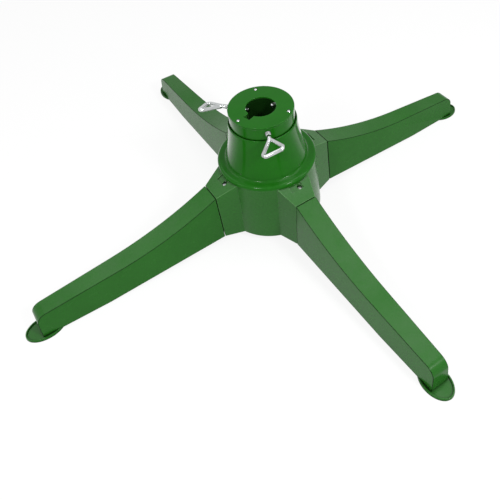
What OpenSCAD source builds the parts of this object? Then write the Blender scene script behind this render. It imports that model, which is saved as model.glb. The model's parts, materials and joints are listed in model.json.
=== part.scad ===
// Rotating tree stand: a four-armed hub with bolted channel legs, a bell-shaped cover
// and a motor-driven turntable that grips the trunk pole with three radial screws.
// Millimetres. The origin is on the floor below the turntable's axis, +Z is up, and
// the four legs lie along +X, +Y, -X and -Y.

/* [Overall] */
// Height of the turntable's top face above the floor
stand_h = 183.3; // [177:0.1:190]
// Distance from the axis to the end of a leg
leg_reach = 345; // [320:0.1:380]
// Wall of the moulded shells
wall = 2.4; // [2:0.1:2.8]
// Gap between parts that plug into each other
fit_gap = 0.2; // [0.1:0.05:0.3]
// Width of the seam between an arm and its leg
seam = 0.8; // [0.2:0.1:1]

/* [Top plate] */
// Radius of the top plate and of the collar under it
plate_r = 42; // [41.5:0.1:44]
// Thickness of the top plate
plate_t = 2.4; // [2:0.1:3.5]
// How far the top plate's hole stands in over the pole's bore
plate_lip = 0.1; // [0:0.05:0.5]
// Direction of the key notch
notch_az = 197.8; // [190:0.1:205]
// Width of the key notch
notch_w = 9.5; // [8:0.5:11]
// Distance from the axis to the notch's far end
notch_reach = 27.4; // [25:0.1:28.5]
// Distance of the plate screws from the plate's edge
plate_screw_inset = 5.5; // [5:0.1:6]
// Direction of the first plate screw
plate_screw_az = 68.6; // [60:0.1:75]

/* [Collar] */
// Height of the collar that shows between the top plate and the cover's rim
collar_show = 16.6; // [14.2:0.1:18]
// Depth that the collar dips below the cover's rim
collar_dip = 4.5; // [3:0.5:8]
// Radial gap between the collar and the cover's rim
rim_gap = 0.8; // [0.8:0.1:1.6]

/* [Clamp screws] */
// Direction of the first clamp screw; the others follow at 120 degrees
clamp_az = 248.6; // [245:0.1:252]
// Depth of the clamp screws' axes below the top face
clamp_drop = 9; // [8.6:0.1:9.8]
// Diameter of the clamp screws
clamp_d = 6; // [5:0.5:6]
// Distance from the axis to the screws' tips
tip_reach = 16.3; // [15:0.1:18]
// Distance from the collar to the inner corner of a handle
handle_gap = 9.4; // [7.5:0.1:14]
// Length of a handle along its screw
handle_l = 28.6; // [25:0.1:32]
// Width of a handle at its outer end
handle_w = 30.7; // [26:0.1:34]
// Diameter of a handle's rod
rod_d = 5; // [4:0.1:5.4]
// Bend radius at a handle's outer corners
rod_bend = 4.4; // [4:0.1:5]
// Angle that the handles are turned about their screws
handle_tilt = 18.8; // [-30:0.1:30]
// Angle that the front handle hangs below its screw
front_droop = -3.5; // [-8:0.5:8]
// Angle that the left handle hangs below its screw
left_droop = 10.5; // [0:0.5:12]

/* [Cover] */
// Thickness of the cover's rim
rim_wall = 1.6; // [1.5:0.1:2.5]
// Radius of the cover's foot, above its flange
cover_foot_r = 54.4; // [54:0.1:58]
// How far the cover's flange stands out over the drum
flange_lip = 0.5; // [0.4:0.1:3]
// Height of the cover's flange
flange_h = 6; // [6:0.1:9]
// How far the cover's side bows inwards
cover_sag = 1.9; // [0:0.1:2]

/* [Hub] */
// Height of the hub's lower edge above the floor
hub_z = 12; // [6:0.1:13]
// Height of the hub
hub_h = 86.6; // [86:0.1:94]
// Radius of the hub's drum at its top
drum_r = 65.8; // [65.5:0.1:66]
// Angle that the drum's side leans in towards its top
drum_lean = 2.2; // [1:0.1:3]
// Distance from the axis to the end of an arm
arm_reach = 89; // [88:0.1:92]
// Half the width of an arm at its end, level with the hub's lower edge
arm_end_hw = 18.6; // [17:0.1:19]
// Half the width of an arm where it leaves the drum, level with the hub's lower edge
arm_root_hw = 27.6; // [26:0.1:28.5]
// Angle that the sides of the arms and legs lean in towards their tops
side_lean = 2.8; // [1:0.1:3.2]
// Depth of an arm's top edge, at its end, below the hub's top
arm_drop = 13.3; // [12:0.1:15]
// Rise of an arm's top towards the axis, per unit of length
arm_rise = 0.48; // [0.45:0.01:0.5]
// Depth of the shallow pocket on an arm's top
pocket_d = 1.4; // [1:0.1:1.6]
// Half the width of that pocket
pocket_hw = 8.6; // [8:0.1:10]
// Distance from the axis to the pocket's outer edge
pocket_reach = 73; // [71.5:0.5:75]
// Distance of a leg screw from the axis, along its arm
leg_screw_x = 69.2; // [69:0.1:69.5]
// Distance of a leg screw from its arm's centre line
leg_screw_y = 4.4; // [0:0.1:5]

/* [Legs] */
// Half the width of a leg at its tip, level with the hub's lower edge
leg_tip_hw = 12.2; // [11:0.1:14]
// Height of a leg's top where its nose begins
leg_tip_z = 38.6; // [34:0.1:42]
// Radius of a leg's nose
nose_r = 14.4; // [12:0.1:16]
// Angle that a leg's end leans out towards the floor
nose_lean = 5.5; // [0:0.5:12]
// Fall of the straight outer stretch of a leg's top, in degrees
leg_fall = 4.9; // [3:0.1:6]
// Distance from the axis to the start of that straight stretch
leg_bend_x = 237; // [220:1:260]
// Distance from the axis to the end of the rising underside
leg_flat_x = 258; // [200:1:260]
// Length of the tongue that plugs into an arm
tongue_l = 24; // [23.5:0.1:24.2]

/* [Feet] */
// Distance from the axis to the centre of a foot
foot_x = 338.6; // [325:0.1:341]
// Half the length of a foot, on the floor
foot_a = 25.2; // [24:0.1:30]
// Half the width of a foot, on the floor
foot_b = 17.2; // [16.5:0.1:20]
// Height of a foot's rim
foot_h = 3.5; // [3:0.1:6]
// How far a foot's side leans in between the floor and its rim
foot_slope = 0.9; // [0.5:0.1:2]
// Width of a foot's rim
foot_rim = 1.7; // [1.4:0.1:2.4]
// Thickness of a foot's floor
foot_t = 1.8; // [1.6:0.1:2.4]

/* [Turntable] */
// Radius of the bore that holds the pole
pole_r = 19.3; // [19.25:0.05:19.5]
// Wall of the pole tube
tube_wall = 2.7; // [2.4:0.1:3]
// Radius of the tube's foot flange
tube_flange_r = 32; // [31.5:0.1:32]
// Thickness of the tube's foot flange
tube_flange_t = 3; // [2.5:0.1:4]
// Running clearance of the turning fits
run_gap = 0.06; // [0.04:0.01:0.09]

/* [Gears] */
// Gear module
gear_m = 1.25; // [1.22:0.01:1.28]
// Teeth of the turntable's gear
main_teeth = 54; // [52:1:56]
// Teeth of the drive pinion
pinion_teeth = 18; // [16:1:20]
// Width of the turntable's gear
gear_w = 8; // [6:0.5:9]
// Play between meshed teeth
backlash = 0.3; // [0.2:0.05:0.4]
// Direction of the motor from the axis
motor_az = 225; // [222:1:228]

/* [Bearing] */
// Radius of a ball
ball_r = 3; // [2.8:0.1:3.2]
// Number of balls
ball_count = 12; // [8:1:14]
// Radius of the circle that the balls run on
ball_circle = 27; // [26.5:0.1:27.5]
// Thickness of a bearing race
race_t = 2.5; // [2:0.1:3]
// Thickness of the ball cage
cage_t = 1.6; // [1.2:0.1:2]

/* [Motor] */
// Radius of the geared motor's gear case
motor_r = 18.5; // [17:0.5:18.5]
// Height of the gear case
gear_case_h = 22; // [18:1:24]
// Height of the motor can above the gear case
can_h = 24; // [20:1:25]
// Thickness of the motor bracket
bracket_t = 2; // [1.5:0.1:2.5]

/* [Base plate] */
// Thickness of the base plate
base_t = 3; // [2.8:0.1:4]
// Depth that the base plate sits inside the hub
base_inset = 0.6; // [0.2:0.1:2]
// Distance of the base plate's screws from the axis
base_screw_circle = 57.5; // [57:0.1:57.5]

/* [Hidden] */
$fn = 96;

// Finishes
paint = "forestgreen";
steel = "silver";
nylon = "ivory";
dark = "dimgray";

// Heights, from the floor up
base_z = hub_z + base_inset;
base_top = base_z + base_t;
race_seat_t = 2;
race_z = base_top + race_seat_t;
race_space = 4;
ball_z = race_z + race_t + race_space / 2;
upper_race_z = ball_z + race_space / 2;
flange_z = upper_race_z + race_t;
gear_z = flange_z + tube_flange_t;
gear_top = gear_z + gear_w;
bracket_z = gear_top + 2.5;
motor_z = bracket_z + bracket_t;
hub_top = hub_z + hub_h;
arm_end_z = hub_top - arm_drop;
plate_z = stand_h - plate_t;
rim_z = plate_z - collar_show;
collar_z = rim_z - collar_dip;
clamp_z = stand_h - clamp_drop;

// Turntable
tube_r = pole_r + tube_wall;
pole_hole_r = pole_r - plate_lip;
plate_screw_circle = plate_r - plate_screw_inset;
lead_in = 0.3;
clear_bore_h = 30;
clear_bore_z = plate_z - clear_bore_h;
collar_wall = 3;
collar_ring_t = 3.4;
collar_ring_r = tube_r + collar_ring_t;
collar_floor_t = 2.5;
clamp_boss_w = 15;
clamp_hole_r = clamp_d / 2 + 0.4;
handle_start = plate_r + handle_gap;
bend_swell = 0.04;
bend_lap = 0.3;
nut_af = 10;
nut_t = 5;
nut_start = plate_r - collar_wall - 9;
notch_wall = 2.6;
plate_boss_r = 3.4;
plate_screw_r = 1.25;
plate_head_r = 1.9;
plate_head_h = 1.4;
plate_sink_gap = 0.5;
plate_screw_l = 9;
ring_t = 1.5;
ring_r = tube_r + 2.5;
ring_groove = 0.8;
gear_sink = 2;
race_in_r = ball_circle - 6;
race_out_r = ball_circle + 6;
ball_gap = 0.1;
gear_screw_circle = (tube_r + gear_m * (main_teeth / 2 - 1.25)) / 2;
m3_r = 1.5;
m3_head_r = 2.8;
m3_head_h = 1.6;
m4_r = 2;
m4_head_r = 3.6;
m4_head_h = 2.2;
thread_gap = 0.05;

// Gears
pressure = 20;
main_pitch_r = gear_m * main_teeth / 2;
pinion_pitch_r = gear_m * pinion_teeth / 2;
gear_centres = main_pitch_r + pinion_pitch_r;
tooth_steps = 6;
pinion_inset = 0.5;
shaft_r = 3;

// Motor and bracket
case_offset = 3;
case_x = gear_centres - case_offset;
can_r = motor_r - 1.3;
bracket_x0 = gear_centres - 13;
bracket_x1 = gear_centres + 11;
bracket_hw = 23;
bracket_foot_w = 9;
bracket_foot_l = 8;
bracket_screw_y = bracket_hw - (bracket_foot_w + bracket_t) / 2;
motor_screw_y = 12;
motor_screw_x = case_x + 1;

// Cover
deck_drop = 15;
deck_z = collar_z - deck_drop;
deck_t = 3;
bush_wall = 3;
bush_out_r = tube_r + run_gap + bush_wall;
bush_flange_r = bush_out_r + 4;
bush_flange_t = 1.6;
bush_l = 9;
rim_in_r = plate_r + rim_gap;
cover_top_r = rim_in_r + rim_wall;
flange_r = drum_r + flange_lip;
rim_round = 1;
flange_round = 4;
cover_fillet = 3.5;
cover_screw_circle = 52;
cover_screw_az = 20;
cover_boss_r = 4.2;
cover_boss_h = 12;
cover_steps = 12;

// Hub
drum_in_r = drum_r - wall;
drum_foot_r = drum_r + hub_h * tan(drum_lean);
web_t = 2.5;
web_in_r = cover_screw_circle - 5;
arm_top_t = wall + pocket_d;
arm_flare = (arm_root_hw - arm_end_hw) / (arm_reach - arm_root_x());
socket_hw = arm_end_hw - wall - tan(side_lean) * (arm_end_z - hub_z);
leg_head_r = 3.1;
leg_head_h = 2.2;
leg_screw_l = 16;
leg_boss_h = 20;
leg_hole_r = leg_head_r + 0.2;
shelf_t = 2;
shelf_drop = 6.1;
shelf_z = arm_top(leg_screw_x) - shelf_drop;
screw_boss_r = 5.6;
hub_boss_r = 4.6;
hub_boss_h = 13.5;
hub_boss_az = 27;
base_flat = drum_in_r - 1 - fit_gap;
base_head_h = 1.2;
base_grip = 10;
grommet_az = 50;
grommet_z = hub_z + 13;
grommet_r = 5;
cord_r = 3.3;

// Legs and feet
leg_shoulder = arm_reach + seam;
tongue_hw = socket_hw - fit_gap;
tongue_z = hub_z + 2;
tongue_x = arm_reach - tongue_l;
leg_root_z = arm_end_z - 0.2;
leg_rib_t = 2;
leg_rib_clear = 6;
leg_ribs = [130, 190, 250];
foot_boss_r = 5;
foot_boss_h = 14;
foot_screw_l = 10;
foot_head_h = 0.7;
arm_az = [for (k = [0:3]) 90 * k];
clamp_turns = [0, 1, 2];

// Radius of the drum's inner side at height z
function drum_in(z) = drum_in_r + (hub_z + hub_h - z) * tan(drum_lean);
function arm_root_x() = sqrt(drum_foot_r * drum_foot_r - arm_root_hw * arm_root_hw);
function arm_top(x) = arm_end_z + arm_rise * (arm_reach - x);
function polar(r, a) = [r * cos(a), r * sin(a)];
// Points of an arc from angle a0 to a1, in n steps
function arc(c, r, a0, a1, n) = [for (i = [0:n]) c + polar(r, a0 + (a1 - a0) * i / n)];

// Places children at n equal turns about the axis
module around(n, r, az) {
    for (k = [0:n - 1]) rotate([0, 0, az + 360 * k / n]) translate([r, 0, 0]) children();
}

// A flat ring or disc
module washer(r_out, r_in, h) {
    difference() {
        cylinder(r = r_out, h = h);
        if (r_in > 0) translate([0, 0, -1]) cylinder(r = r_in, h = h + 2);
    }
}

// A side outline in X and Z, given the thickness across Y
module slab(width) {
    rotate([90, 0, 0]) linear_extrude(height = width, center = true) children();
}

// A screw with a flat head, standing on Z with the head's seat at z = 0
module pan_screw(r, l, head_r, head_h) {
    translate([0, 0, -l]) cylinder(r = r, h = l);
    cylinder(r = head_r, h = head_h);
}

// A screw with a cone head whose top is at z = 0
module sunk_screw(r, l, head_r, head_h) {
    translate([0, 0, -l]) cylinder(r = r, h = l - head_h);
    translate([0, 0, -head_h]) cylinder(r1 = r, r2 = head_r, h = head_h);
}

// ---- Turntable ----

// The key notch's outline, w wide and out to r
module notch_outline(w, r) {
    rotate([0, 0, notch_az]) translate([0, -w / 2]) square([r, w]);
}

module top_plate() {
    color(paint) difference() {
        translate([0, 0, plate_z]) linear_extrude(height = plate_t) difference() {
            circle(r = plate_r);
            circle(r = pole_hole_r);
            notch_outline(notch_w, notch_reach);
        }
        around(3, plate_screw_circle, plate_screw_az) translate([0, 0, plate_z - 1]) {
            cylinder(r = plate_screw_r + thread_gap, h = plate_t + 2);
            translate([0, 0, 1 + plate_t - plate_head_h]) cylinder(r = plate_head_r + plate_sink_gap, h = 5);
        }
    }
}

module plate_screws() {
    color(steel) around(3, plate_screw_circle, plate_screw_az)
        translate([0, 0, stand_h - plate_head_h])
            pan_screw(plate_screw_r, plate_screw_l, plate_head_r, plate_head_h - 0.2);
}

// The collar's outline seen from above, without its floor
module collar_outline() {
    difference() {
        union() {
            difference() {
                circle(r = plate_r);
                circle(r = plate_r - collar_wall);
            }
            circle(r = collar_ring_r);
            for (k = clamp_turns) rotate([0, 0, clamp_az + 120 * k])
                translate([0, -clamp_boss_w / 2]) square([plate_r - collar_wall / 2, clamp_boss_w]);
            intersection() {
                notch_outline(notch_w + 2 * notch_wall, notch_reach + notch_wall);
                circle(r = plate_r - collar_wall / 2);
            }
            for (k = clamp_turns) rotate([0, 0, plate_screw_az + 120 * k])
                translate([plate_screw_circle, 0]) circle(r = plate_boss_r);
        }
        circle(r = tube_r + thread_gap);
        notch_outline(notch_w, notch_reach);
    }
}

module collar() {
    color(paint) difference() {
        union() {
            translate([0, 0, collar_z + collar_floor_t])
                linear_extrude(height = plate_z - collar_z - collar_floor_t) collar_outline();
            translate([0, 0, collar_z]) washer(plate_r, tube_r + thread_gap, collar_floor_t);
        }
        for (k = clamp_turns) rotate([0, 0, clamp_az + 120 * k]) {
            translate([tube_r - 1, 0, clamp_z]) rotate([0, 90, 0])
                cylinder(r = clamp_hole_r, h = plate_r - tube_r + 2);
            nut_pocket();
        }
        around(3, plate_screw_circle, plate_screw_az) translate([0, 0, plate_z - 10])
            cylinder(r = plate_screw_r + thread_gap, h = 11);
    }
}

// The slot that a clamp nut drops into from above
module nut_pocket() {
    nut_half = nut_af / 2 / cos(30);
    translate([nut_start - fit_gap, -nut_af / 2 - fit_gap, clamp_z])
        cube([nut_t + 2 * fit_gap, nut_af + 2 * fit_gap, plate_z - clamp_z + 1]);
    translate([nut_start - fit_gap, 0, clamp_z]) rotate([0, 90, 0])
        cylinder(r = nut_half + fit_gap, h = nut_t + 2 * fit_gap, $fn = 6);
}

module clamp_nuts() {
    color(steel) for (k = clamp_turns) rotate([0, 0, clamp_az + 120 * k])
        translate([nut_start, 0, clamp_z]) rotate([0, 90, 0]) difference() {
            cylinder(r = nut_af / 2 / cos(30), h = nut_t, $fn = 6);
            translate([0, 0, -1]) cylinder(r = clamp_d / 2 + run_gap, h = nut_t + 2);
        }
}

module snap_ring() {
    color(steel) translate([0, 0, collar_z - ring_t]) linear_extrude(height = ring_t)
        difference() {
            circle(r = ring_r);
            circle(r = tube_r - ring_groove + thread_gap);
            rotate([0, 0, notch_az]) translate([0, -4]) square([ring_r + 1, 8]);
        }
}

module pole_tube() {
    color(steel) difference() {
        union() {
            translate([0, 0, flange_z]) cylinder(r = tube_flange_r, h = tube_flange_t);
            translate([0, 0, gear_z - 1]) cylinder(r = tube_r, h = plate_z - gear_z + 1);
        }
        translate([0, 0, gear_z]) cylinder(r = pole_r, h = plate_z);
        translate([0, 0, clear_bore_z]) cylinder(r = pole_r + lead_in, h = plate_z);
        translate([0, 0, collar_z + 1]) linear_extrude(height = plate_z)
            notch_outline(notch_w, notch_reach);
        for (k = clamp_turns) rotate([0, 0, clamp_az + 120 * k])
            translate([pole_r - 3, 0, clamp_z]) rotate([0, 90, 0])
                cylinder(r = clamp_hole_r, h = tube_wall + 4);
        translate([0, 0, collar_z - ring_t]) washer(tube_r + 2, tube_r - ring_groove, ring_t);
        around(3, gear_screw_circle, motor_az + 60) translate([0, 0, flange_z - 1])
            cylinder(r = m3_r + thread_gap, h = tube_flange_t + 2);
    }
}

// Angle between a tooth's centre line and its flank at radius r, in degrees
function involute_angle(a) = (tan(a) - a * PI / 180) * 180 / PI;
function flank_angle(r, pitch_r, teeth) = let(
        base_r = pitch_r * cos(pressure),
        a = r > base_r ? acos(base_r / r) : 0,
        half = 90 / teeth - backlash / 4 / pitch_r * 180 / PI)
    half + involute_angle(pressure) - involute_angle(a);

// A spur gear's outline, with one tooth centred on +X
module gear_outline(teeth) {
    pitch_r = gear_m * teeth / 2;
    root_r = pitch_r - 1.25 * gear_m;
    tip_r = pitch_r + gear_m;
    polygon([for (k = [0:teeth - 1]) for (side = [-1, 1]) for (i = [0:tooth_steps])
        let(f = side < 0 ? i / tooth_steps : 1 - i / tooth_steps,
            r = root_r + (tip_r - root_r) * f)
        polar(r, 360 * k / teeth + side * flank_angle(r, pitch_r, teeth))]);
}

module main_gear() {
    color(nylon) difference() {
        translate([0, 0, gear_z]) rotate([0, 0, motor_az]) linear_extrude(height = gear_w)
            gear_outline(main_teeth);
        translate([0, 0, gear_z - 1]) cylinder(r = tube_r + thread_gap, h = gear_w + 2);
        around(3, gear_screw_circle, motor_az + 60) translate([0, 0, gear_z - 1]) {
            cylinder(r = m3_r + fit_gap, h = gear_w + 2);
            translate([0, 0, gear_w + 1 - gear_sink]) cylinder(r = m3_head_r + fit_gap, h = 3);
        }
    }
}

module gear_screws() {
    color(steel) around(3, gear_screw_circle, motor_az + 60)
        translate([0, 0, gear_top - gear_sink])
            pan_screw(m3_r, gear_top - gear_sink - flange_z, m3_head_r, m3_head_h);
}

// A bearing race with its groove centred on the balls
module race(z) {
    color(steel) difference() {
        translate([0, 0, z]) washer(race_out_r, race_in_r, race_t);
        translate([0, 0, ball_z]) rotate_extrude() translate([ball_circle, 0])
            circle(r = ball_r + ball_gap);
    }
}

module upper_race() {
    race(upper_race_z);
}

module lower_race() {
    race(race_z);
}

module bearing_balls() {
    color(steel) around(ball_count, ball_circle, 0) translate([0, 0, ball_z]) sphere(r = ball_r);
}

module ball_cage() {
    color("goldenrod") difference() {
        translate([0, 0, ball_z - cage_t / 2]) washer(race_out_r - 1, race_in_r + 1, cage_t);
        around(ball_count, ball_circle, 0) translate([0, 0, ball_z - cage_t])
            cylinder(r = ball_r + ball_gap, h = 2 * cage_t);
    }
}

// ---- Clamp screws, each along +X before it is turned into place ----

// A rod from point p to point q in the XY plane, which runs a little into the bend at q
module rod(p, q) {
    d = q - p;
    translate([p[0], p[1], 0]) rotate([0, 0, atan2(d[1], d[0])]) rotate([0, 90, 0])
        cylinder(r = rod_d / 2, h = norm(d) + bend_lap);
}

// The triangular handle, its inner corner at the origin: two rods, two bends and a cross bar
module handle() {
    corner = [handle_l, handle_w / 2];
    lean = atan2(handle_w / 2, handle_l);
    bend = 90 + lean;
    cut = rod_bend * tan(bend / 2);
    for (side = [-1, 1]) mirror([0, side < 0 ? 1 : 0, 0]) {
        rod([0, 0], corner - cut * polar(1, lean));
        translate([corner[0] - rod_bend, corner[1] - cut, 0]) rotate_extrude(angle = bend)
            translate([rod_bend, 0]) circle(r = rod_d / 2 + bend_swell);
    }
    rod([corner[0], cut - corner[1] - bend_lap], [corner[0], corner[1] - cut]);
    sphere(r = clamp_d / 2);
}

// A pointed shank from the tip to r1
module shank(r1) {
    tip = 1;
    translate([tip_reach, 0, 0]) rotate([0, 90, 0]) cylinder(r1 = clamp_d / 2 - tip, r2 = clamp_d / 2, h = tip);
    translate([tip_reach + tip, 0, 0]) rotate([0, 90, 0])
        cylinder(r = clamp_d / 2, h = r1 - tip_reach - tip);
}

module clamp_screw(turn, droop) {
    color(steel) rotate([0, 0, clamp_az + 120 * turn]) translate([0, 0, clamp_z])
        rotate([handle_tilt, 0, 0]) {
            shank(handle_start);
            translate([handle_start, 0, 0]) rotate([0, droop, 0]) handle();
        }
}

module clamp_screw_front() {
    clamp_screw(0, front_droop);
}

module clamp_screw_left() {
    clamp_screw(2, left_droop);
}

module set_screw() {
    socket_af = 3;
    color(steel) rotate([0, 0, clamp_az + 120]) translate([0, 0, clamp_z]) difference() {
        shank(plate_r - 1.5);
        translate([plate_r - 4.5, 0, 0]) rotate([0, 90, 0])
            cylinder(r = socket_af / 2 / cos(30), h = 5, $fn = 6);
    }
}

// ---- Drive ----

module drive_pinion() {
    color("goldenrod") rotate([0, 0, motor_az]) translate([gear_centres, 0, gear_z + pinion_inset])
        difference() {
            rotate([0, 0, 180 + 180 / pinion_teeth])
                linear_extrude(height = gear_w - 2 * pinion_inset) gear_outline(pinion_teeth);
            translate([0, 0, -1]) cylinder(r = shaft_r + thread_gap, h = gear_w + 2);
        }
}

module motor_shaft() {
    color(steel) rotate([0, 0, motor_az]) translate([gear_centres, 0, gear_z])
        cylinder(r = shaft_r, h = motor_z - gear_z + gear_case_h / 2);
}

module gear_case() {
    color(steel) rotate([0, 0, motor_az]) difference() {
        union() {
            translate([case_x, 0, motor_z]) cylinder(r = motor_r, h = gear_case_h);
            translate([gear_centres, 0, bracket_z + 0.2]) cylinder(r = 6, h = bracket_t + 1);
        }
        translate([gear_centres, 0, bracket_z - 1])
            cylinder(r = shaft_r + run_gap, h = bracket_t + gear_case_h / 2 + 2);
        for (side = [-1, 1]) translate([motor_screw_x, side * motor_screw_y, motor_z - 1])
            cylinder(r = m3_r + thread_gap, h = 6);
    }
}

module motor_can() {
    color(dark) rotate([0, 0, motor_az]) translate([case_x, 0, motor_z + gear_case_h]) {
        cylinder(r = can_r, h = can_h - 2);
        translate([0, 0, can_h - 2]) cylinder(r1 = can_r, r2 = can_r - 2, h = 2);
    }
}

// A folded plate that bridges the gears and stands on the base plate
module motor_bracket() {
    leg_x = bracket_x1 - bracket_x0;
    color(steel) rotate([0, 0, motor_az]) difference() {
        union() {
            translate([bracket_x0, -bracket_hw, bracket_z]) cube([leg_x, 2 * bracket_hw, bracket_t]);
            for (side = [-1, 1]) mirror([0, side < 0 ? 1 : 0, 0]) {
                translate([gear_centres - bracket_foot_l / 2, bracket_hw - bracket_t, base_top])
                    cube([bracket_foot_l, bracket_t, bracket_z - base_top + 1]);
                translate([gear_centres - bracket_foot_l / 2, bracket_hw - bracket_foot_w, base_top])
                    cube([bracket_foot_l, bracket_foot_w, bracket_t]);
            }
        }
        translate([gear_centres, 0, bracket_z - 1]) cylinder(r = 6 + fit_gap, h = bracket_t + 2);
        for (side = [-1, 1]) {
            translate([motor_screw_x, side * motor_screw_y, bracket_z - 1])
                cylinder(r = m3_r + fit_gap, h = bracket_t + 2);
            translate([gear_centres, side * bracket_screw_y, base_top - 1])
                cylinder(r = m3_r + fit_gap, h = bracket_t + 2);
        }
    }
}

module motor_screws() {
    color(steel) rotate([0, 0, motor_az]) for (side = [-1, 1])
        translate([motor_screw_x, side * motor_screw_y, bracket_z]) rotate([180, 0, 0])
            pan_screw(m3_r, bracket_t + 4, m3_head_r, m3_head_h);
}

module bracket_screws() {
    color(steel) rotate([0, 0, motor_az]) for (side = [-1, 1])
        translate([gear_centres, side * bracket_screw_y, base_top + bracket_t])
            pan_screw(m3_r, base_t + bracket_t, m3_head_r, m3_head_h);
}

// ---- Cover ----

// The cover's outer side, from its foot to its rim, drawn in by t
function cover_side(t) = let(z0 = hub_top + flange_h + cover_fillet, z1 = rim_z - rim_round)
    [for (i = [0:cover_steps]) let(f = i / cover_steps)
        [cover_foot_r + (cover_top_r - cover_foot_r) * f - 4 * cover_sag * f * (1 - f) - t,
            z0 + (z1 - z0) * f]];

module cover_outline() {
    ring_c = [flange_r - flange_round, hub_top + flange_h - flange_round];
    fillet_c = [cover_foot_r + cover_fillet, hub_top + flange_h + cover_fillet];
    inside = cover_side(wall);
    polygon(concat(
        [[flange_r, hub_top]],
        arc(ring_c, flange_round, 0, 90, 6),
        arc(fillet_c, cover_fillet, 270, 180, 5),
        cover_side(0),
        arc([cover_top_r - rim_round, rim_z - rim_round], rim_round, 30, 90, 2),
        [[rim_in_r, rim_z], [rim_in_r, collar_z - 2]],
        [for (i = [cover_steps - 2:-1:0]) inside[i]],
        arc(fillet_c, cover_fillet + wall, 185, 270, 5),
        arc(ring_c, flange_round - wall, 90, 0, 3),
        [[flange_r - wall, hub_top]]));
}

// The cover's inside, used to trim what is moulded into it
module cover_core() {
    inside = cover_side(wall / 2);
    polygon(concat([[0, hub_top], [cover_foot_r - wall / 2, hub_top]], inside,
        [[0, rim_z - rim_round]]));
}

module bell_cover() {
    color(paint) difference() {
        union() {
            rotate_extrude() cover_outline();
            intersection() {
                rotate_extrude() cover_core();
                union() {
                    translate([0, 0, deck_z - deck_t]) cylinder(r = cover_foot_r, h = deck_t);
                    translate([0, 0, deck_z - bush_l]) cylinder(r = bush_flange_r, h = bush_l);
                    around(4, cover_screw_circle, cover_screw_az) translate([0, 0, hub_top])
                        cylinder(r = cover_boss_r, h = cover_boss_h);
                }
            }
        }
        translate([0, 0, deck_z - bush_l - 1]) cylinder(r = bush_out_r + thread_gap, h = bush_l + 3);
        around(4, cover_screw_circle, cover_screw_az) translate([0, 0, hub_top - 1])
            cylinder(r = m4_r + thread_gap, h = cover_boss_h);
    }
}

module cover_screws() {
    color(steel) around(4, cover_screw_circle, cover_screw_az) translate([0, 0, hub_top - web_t])
        rotate([180, 0, 0]) pan_screw(m4_r, web_t + cover_boss_h - 2, m4_head_r, m4_head_h);
}

module top_bush() {
    color(nylon) difference() {
        union() {
            translate([0, 0, deck_z]) cylinder(r = bush_flange_r, h = bush_flange_t);
            translate([0, 0, deck_z - bush_l]) cylinder(r = bush_out_r, h = bush_l + 1);
        }
        translate([0, 0, deck_z - bush_l - 1]) cylinder(r = tube_r + run_gap, h = bush_l + 4);
    }
}

// ---- Hub ----

// Everything on the near side of a leaning side wall through (x0, w0) and (x1, w1)
module side_space(x0, w0, x1, w1) {
    translate([x0, w0, hub_z]) rotate([0, 0, atan2(w1 - w0, x1 - x0)]) rotate([side_lean, 0, 0])
        translate([-200, -300, -200]) cube([leg_reach + 400, 300, 500]);
}

// Everything between the two side walls of an arm, drawn in by t
module arm_sides(t) {
    intersection() {
        side_space(arm_root_x(), arm_root_hw - t, arm_reach, arm_end_hw - t);
        mirror([0, 1, 0]) side_space(arm_root_x(), arm_root_hw - t, arm_reach, arm_end_hw - t);
    }
}

// An arm's outline seen from the side, its top lowered by t
module arm_side(t, z0) {
    top_x = arm_reach - (hub_top - arm_end_z) / arm_rise;
    polygon([[0, z0], [arm_reach + t, z0], [arm_reach + t, arm_end_z - t - arm_rise * t],
        [top_x, hub_top - t], [0, hub_top - t]]);
}

module arm_solid() {
    difference() {
        intersection() {
            arm_sides(0);
            slab(4 * arm_root_hw) arm_side(0, hub_z);
        }
        translate([0, 0, -pocket_d]) intersection() {
            translate([0, -pocket_hw, hub_z]) cube([pocket_reach, 2 * pocket_hw, 2 * hub_h]);
            slab(4 * arm_root_hw) polygon([[0, arm_top(0)], [arm_reach, arm_top(arm_reach)],
                [arm_reach, 2 * hub_top], [0, 2 * hub_top]]);
        }
    }
}

module arm_cavity() {
    intersection() {
        arm_sides(wall);
        slab(4 * arm_root_hw) arm_side(arm_top_t, hub_z - 1);
    }
}

// The wall behind the leg's tongue, the two ribs that guide it, and the leg screw's seat
module arm_inside() {
    intersection() {
        arm_sides(wall / 2);
        slab(4 * arm_root_hw) arm_side(wall, hub_z);
        union() {
            translate([drum_in_r - wall, -arm_root_hw, base_top + fit_gap])
                cube([wall, 2 * arm_root_hw, hub_h]);
            for (side = [-1, 1]) mirror([0, side < 0 ? 1 : 0, 0])
                translate([drum_in_r - 1, socket_hw, hub_z])
                    cube([arm_reach - drum_in_r - 1, wall, hub_h]);
            translate([leg_screw_x, leg_screw_y, shelf_z - shelf_t])
                cylinder(r = screw_boss_r, h = hub_top - shelf_z);
        }
    }
}

// The screw posts under the drum's wall
module hub_post() {
    post_x = base_screw_circle;
    translate([post_x, 0, base_top]) cylinder(r = hub_boss_r, h = hub_boss_h);
    translate([post_x, -1.5, base_top]) cube([drum_in(base_top) - post_x + 1, 3, hub_boss_h]);
}

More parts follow.
